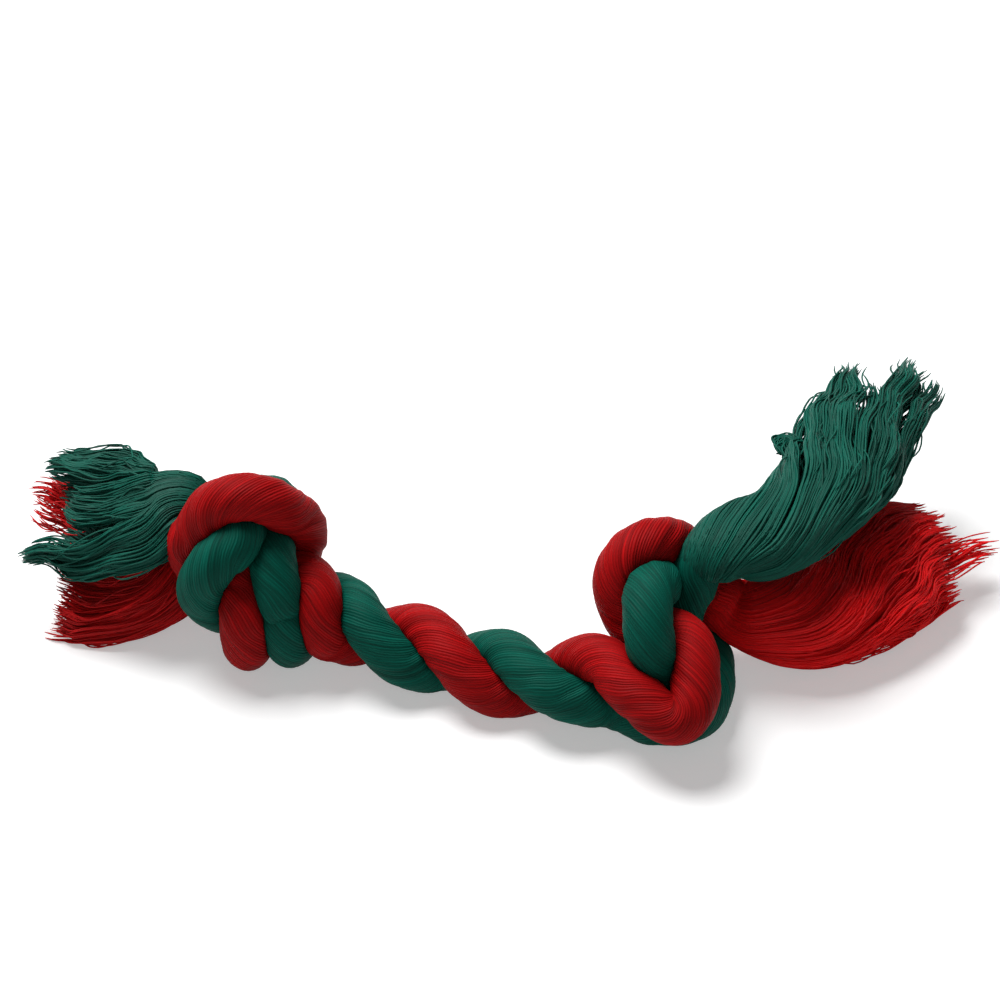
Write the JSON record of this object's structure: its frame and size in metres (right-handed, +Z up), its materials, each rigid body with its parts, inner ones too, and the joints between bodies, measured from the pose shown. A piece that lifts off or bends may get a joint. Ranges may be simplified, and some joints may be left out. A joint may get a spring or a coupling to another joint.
{
  "type": "rope dog toy",
  "caption": "Two twisted cotton strands tied in an overhand knot near each end, with frayed yarn tassels beyond the knots.",
  "frame": {"origin": "centre of the footprint's bounding box, on the floor", "axes": "+X along the rope from the left knot to the right knot, +Z up from the floor"},
  "size_m": [0.199, 0.1194, 0.0464],
  "materials": {
    "red_cotton": "matte dyed cotton yarn",
    "green_cotton": "matte dyed cotton yarn"
  },
  "bodies": {
    "left_end": {"left_knot_red_strand": "red_cotton", "left_knot_green_strand": "green_cotton", "left_middle_red_strand": "red_cotton", "left_middle_green_strand": "green_cotton"},
    "right_end": {"right_middle_red_strand": "red_cotton", "right_middle_green_strand": "green_cotton", "right_knot_red_strand": "red_cotton", "right_knot_green_strand": "green_cotton"},
    "left_green_tassel": {"left_green_tassel_yarns": "green_cotton"},
    "left_red_tassel": {"left_red_tassel_yarns": "red_cotton"},
    "right_green_tassel": {"right_green_tassel_yarns": "green_cotton"},
    "right_red_tassel": {"right_red_tassel_yarns": "red_cotton"}
  },
  "joints": [
    {"name": "rope_bend", "type": "hinge", "parent": "left_end", "child": "right_end", "pos_m": [-0.00677, -0.04372, 0.00923], "axis": [0, 0, 1], "range_deg": [-60, 75], "deforming": ["left_middle_red_strand", "left_middle_green_strand", "right_middle_red_strand", "right_middle_green_strand"]},
    {"name": "left_green_tassel_lift", "type": "hinge", "parent": "left_end", "child": "left_green_tassel", "pos_m": [-0.06358, -0.03747, 0.02478], "axis": [0, 1, 0], "range_deg": [0, 50], "deforming": ["left_green_tassel_yarns"]},
    {"name": "left_red_tassel_swing", "type": "hinge", "parent": "left_end", "child": "left_red_tassel", "pos_m": [-0.05954, -0.02901, 0.02448], "axis": [0, 0, 1], "range_deg": [0, 35], "deforming": ["left_red_tassel_yarns"]},
    {"name": "right_green_tassel_lift", "type": "hinge", "parent": "right_end", "child": "right_green_tassel", "pos_m": [0.04694, -0.01865, 0.03026], "axis": [1, 0, 0], "range_deg": [0, 50], "deforming": ["right_green_tassel_yarns"]},
    {"name": "right_red_tassel_swing", "type": "hinge", "parent": "right_end", "child": "right_red_tassel", "pos_m": [0.04961, -0.0135, 0.01501], "axis": [0, 0, 1], "range_deg": [-40, 0], "deforming": ["right_red_tassel_yarns"]}
  ]
}
